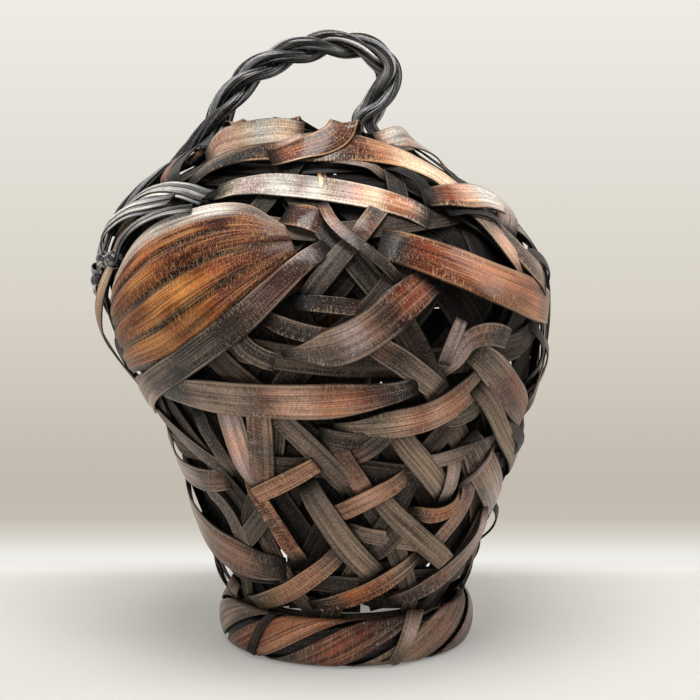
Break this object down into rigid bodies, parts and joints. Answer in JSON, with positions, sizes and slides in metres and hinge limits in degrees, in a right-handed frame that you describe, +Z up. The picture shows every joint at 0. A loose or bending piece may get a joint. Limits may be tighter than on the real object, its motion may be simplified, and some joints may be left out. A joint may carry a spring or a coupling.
{
  "type": "ikebana basket",
  "caption": "Rough-plaited bamboo flower basket with a wide lopsided shoulder, twisted foot ring, looped rope handle and a lift-out water tube.",
  "frame": {"origin": "centre of the bounding box's base, on the surface that the foot ring stands on", "axes": "+Z up out of the mouth; -Y is the front, the side with the fluted fan at its left and the free half of the mouth"},
  "size_m": [0.2538, 0.2507, 0.3467],
  "materials": {
    "polished_bamboo": "polished chestnut skin with pale crosswise ticks",
    "brown_bamboo": "satin dark red-brown skin",
    "pale_bamboo": "satin, rubbed pale",
    "grey_bamboo": "matt inner face with fine grain",
    "dark_bamboo": "near-black lacquer",
    "lacquered_splint": "satin black-brown splints",
    "tube_bamboo": "waxed culm"
  },
  "bodies": {
    "basket": {"back_foot_sweep": "brown_bamboo", "back_lower_sweep": "brown_bamboo", "back_shoulder_strip": "polished_bamboo", "back_waist_sweep": "brown_bamboo", "base_hoop": "grey_bamboo", "fan_keeper_strip": "brown_bamboo", "floor_slat_cross_1": "grey_bamboo", "floor_slat_cross_2": "grey_bamboo", "floor_slat_cross_3": "grey_bamboo", "floor_slat_long_1": "grey_bamboo", "floor_slat_long_2": "grey_bamboo", "floor_slat_long_3": "grey_bamboo", "fluted_fan": "polished_bamboo", "foot_core_hoop": "dark_bamboo", "foot_sweep_middle": "polished_bamboo", "foot_sweep_right": "brown_bamboo", "foot_tie_left": "dark_bamboo", "foot_tie_right": "dark_bamboo", "foot_twist_1": "polished_bamboo", "foot_twist_2": "brown_bamboo", "foot_twist_3": "brown_bamboo", "handle_ply_1": "lacquered_splint", "handle_ply_2": "lacquered_splint", "handle_ply_3": "lacquered_splint", "leaning_strip_1": "grey_bamboo", "leaning_strip_2": "grey_bamboo", "leaning_strip_3": "grey_bamboo", "leaning_strip_4": "grey_bamboo", "leaning_strip_5": "grey_bamboo", "leaning_strip_6": "grey_bamboo", "leaning_strip_7": "grey_bamboo", "lower_strip_left": "brown_bamboo", "lower_strip_right": "brown_bamboo", "lower_sweep_left": "brown_bamboo", "mouth_strip": "polished_bamboo", "neck_strip": "pale_bamboo", "rim_binding_back": "brown_bamboo", "rim_binding_front": "brown_bamboo", "rim_binding_left": "brown_bamboo", "rim_hoop_inner": "brown_bamboo", "rim_hoop_outer": "brown_bamboo", "rising_strip_1": "grey_bamboo", "rising_strip_2": "grey_bamboo", "rising_strip_3": "grey_bamboo", "rising_strip_4": "grey_bamboo", "rising_strip_5": "grey_bamboo", "rising_strip_6": "grey_bamboo", "rising_strip_7": "grey_bamboo", "root_band": "lacquered_splint", "shoulder_crescent": "brown_bamboo", "shoulder_strip_right": "polished_bamboo", "side_loop_left": "dark_bamboo", "side_strip_right": "brown_bamboo", "waist_curve_right": "brown_bamboo", "waist_sweep": "brown_bamboo", "wall_hoop_1": "grey_bamboo", "wall_hoop_2": "grey_bamboo", "wall_hoop_3": "grey_bamboo", "wall_hoop_4": "grey_bamboo"},
    "water_tube": {"water_tube": "tube_bamboo"}
  },
  "joints": [
    {"name": "water_tube_lift", "type": "slide", "parent": "basket", "child": "water_tube", "axis": [0, 0, 1], "range_m": [0, 0.28]}
  ]
}
